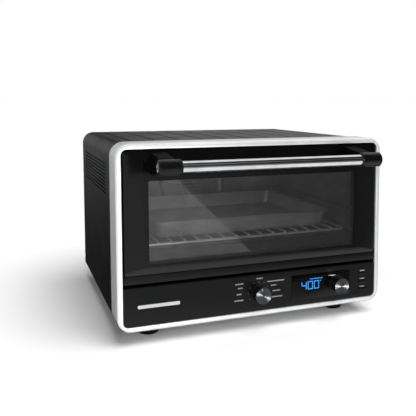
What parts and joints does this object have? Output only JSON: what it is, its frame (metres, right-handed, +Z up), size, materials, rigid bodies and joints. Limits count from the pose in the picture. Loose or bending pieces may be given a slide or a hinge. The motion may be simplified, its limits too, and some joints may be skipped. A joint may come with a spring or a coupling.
{
  "type": "toaster oven",
  "caption": "Countertop toaster oven with a drop-down glass door, wire rack, pan, rear crumb tray, convection fan and a digital control panel.",
  "frame": {"origin": "centre of the overall box (handle and rear spacers included), on the surface the feet stand on", "axes": "+Z up, the door and handle face -Y, +X to the right when facing the oven"},
  "size_m": [0.4318, 0.46, 0.2921],
  "materials": {
    "brushed_aluminium": "fine horizontal brushing",
    "chrome": "bright polished",
    "black_steel": "matte black powder coat",
    "galvanised_steel": "dull zinc",
    "dark_steel": "dark blued",
    "enamel": "dark grey semi-gloss coating",
    "pan_steel": "dark non-stick",
    "heater_sheath": "oxidised",
    "ceramic": "unglazed",
    "black_plastic": "satin moulded",
    "rubber": "matte",
    "lens": "gloss black",
    "button_grey": "satin",
    "circuit": "solder mask",
    "door_glass": "smoked tempered glass"
  },
  "bodies": {
    "oven": {"adjust_encoder": "circuit", "base_pan": "galvanised_steel", "cavity_back": "enamel", "cavity_liner": "enamel", "control_board": "circuit", "control_panel": "black_plastic", "cord_gland": "black_plastic", "display_lens": "lens", "display_module": "circuit", "door_spring_left": "chrome", "door_spring_right": "chrome", "fan_cover": "enamel", "fan_motor": "dark_steel", "foot_front_left": "rubber", "foot_front_right": "rubber", "foot_rear_left": "rubber", "foot_rear_right": "rubber", "front_bezel": "brushed_aluminium", "front_frame": "dark_steel", "hinge_bracket_left": "dark_steel", "hinge_bracket_right": "dark_steel", "hinge_pin_left": "chrome", "hinge_pin_right": "chrome", "lower_front_heater": "heater_sheath", "lower_left_heater_holder": "ceramic", "lower_rear_heater": "heater_sheath", "lower_right_heater_holder": "ceramic", "mode_encoder": "circuit", "nameplate": "brushed_aluminium", "outer_shell": "black_steel", "power_board": "circuit", "rear_panel": "galvanised_steel", "rear_spacer_left": "black_plastic", "rear_spacer_right": "black_plastic", "temperature_probe": "chrome", "upper_front_heater": "heater_sheath", "upper_left_heater_holder": "ceramic", "upper_rear_heater": "heater_sheath", "upper_right_heater_holder": "ceramic"},
    "door": {"door_glass": "door_glass", "door_frame": "black_steel", "door_inner_glass": "door_glass", "door_rail": "black_plastic", "handle_bar": "chrome", "handle_cap_left": "black_plastic", "handle_cap_right": "black_plastic", "handle_screw_left": "chrome", "handle_screw_right": "chrome"},
    "rack": {"wire_rack": "chrome", "baking_pan": "pan_steel"},
    "tray": {"crumb_tray": "pan_steel"},
    "mode_control": {"mode_knob": "black_plastic", "mode_shaft": "chrome"},
    "adjust_control": {"adjust_knob": "black_plastic", "adjust_shaft": "chrome"},
    "button_low": {"lower_button": "button_grey"},
    "button_mid": {"middle_button": "button_grey"},
    "button_high": {"upper_button": "button_grey"},
    "fan": {"convection_fan": "pan_steel", "fan_shaft": "chrome"}
  },
  "joints": [
    {"name": "door_hinge", "type": "hinge", "parent": "oven", "child": "door", "pos_m": [0, -0.152, 0.0956], "axis": [1, 0, 0], "range_deg": [0, 90], "stiffness_Nm_per_rad": 0.5, "springref_deg": -45.84},
    {"name": "rack_slide", "type": "slide", "parent": "oven", "child": "rack", "axis": [0, -1, 0], "range_m": [0, 0.0629]},
    {"name": "crumb_tray_slide", "type": "slide", "parent": "oven", "child": "tray", "axis": [0, 1, 0], "range_m": [0, 0.3]},
    {"name": "mode_turn", "type": "hinge", "parent": "oven", "child": "mode_control", "pos_m": [0, -0.1584, 0.0582], "axis": [0, 1, 0], "range_deg": [-135, 135]},
    {"name": "adjust_turn", "type": "hinge", "parent": "oven", "child": "adjust_control", "pos_m": [0.1351, -0.1584, 0.0582], "axis": [0, 1, 0], "continuous": true},
    {"name": "lower_button_press", "type": "slide", "parent": "oven", "child": "button_low", "axis": [0, 1, 0], "range_m": [0, 0.0012], "stiffness_N_per_m": 400, "springref_m": -0.0008},
    {"name": "middle_button_press", "type": "slide", "parent": "oven", "child": "button_mid", "axis": [0, 1, 0], "range_m": [0, 0.0012], "stiffness_N_per_m": 400, "springref_m": -0.0008},
    {"name": "upper_button_press", "type": "slide", "parent": "oven", "child": "button_high", "axis": [0, 1, 0], "range_m": [0, 0.0012], "stiffness_N_per_m": 400, "springref_m": -0.0008},
    {"name": "fan_turn", "type": "hinge", "parent": "oven", "child": "fan", "pos_m": [-0.008, 0.16, 0.19045], "axis": [0, 1, 0], "continuous": true}
  ],
  "couplings": [
    {"joint": "rack_slide", "follows": "door_hinge", "m_per_rad": 0.04}
  ]
}
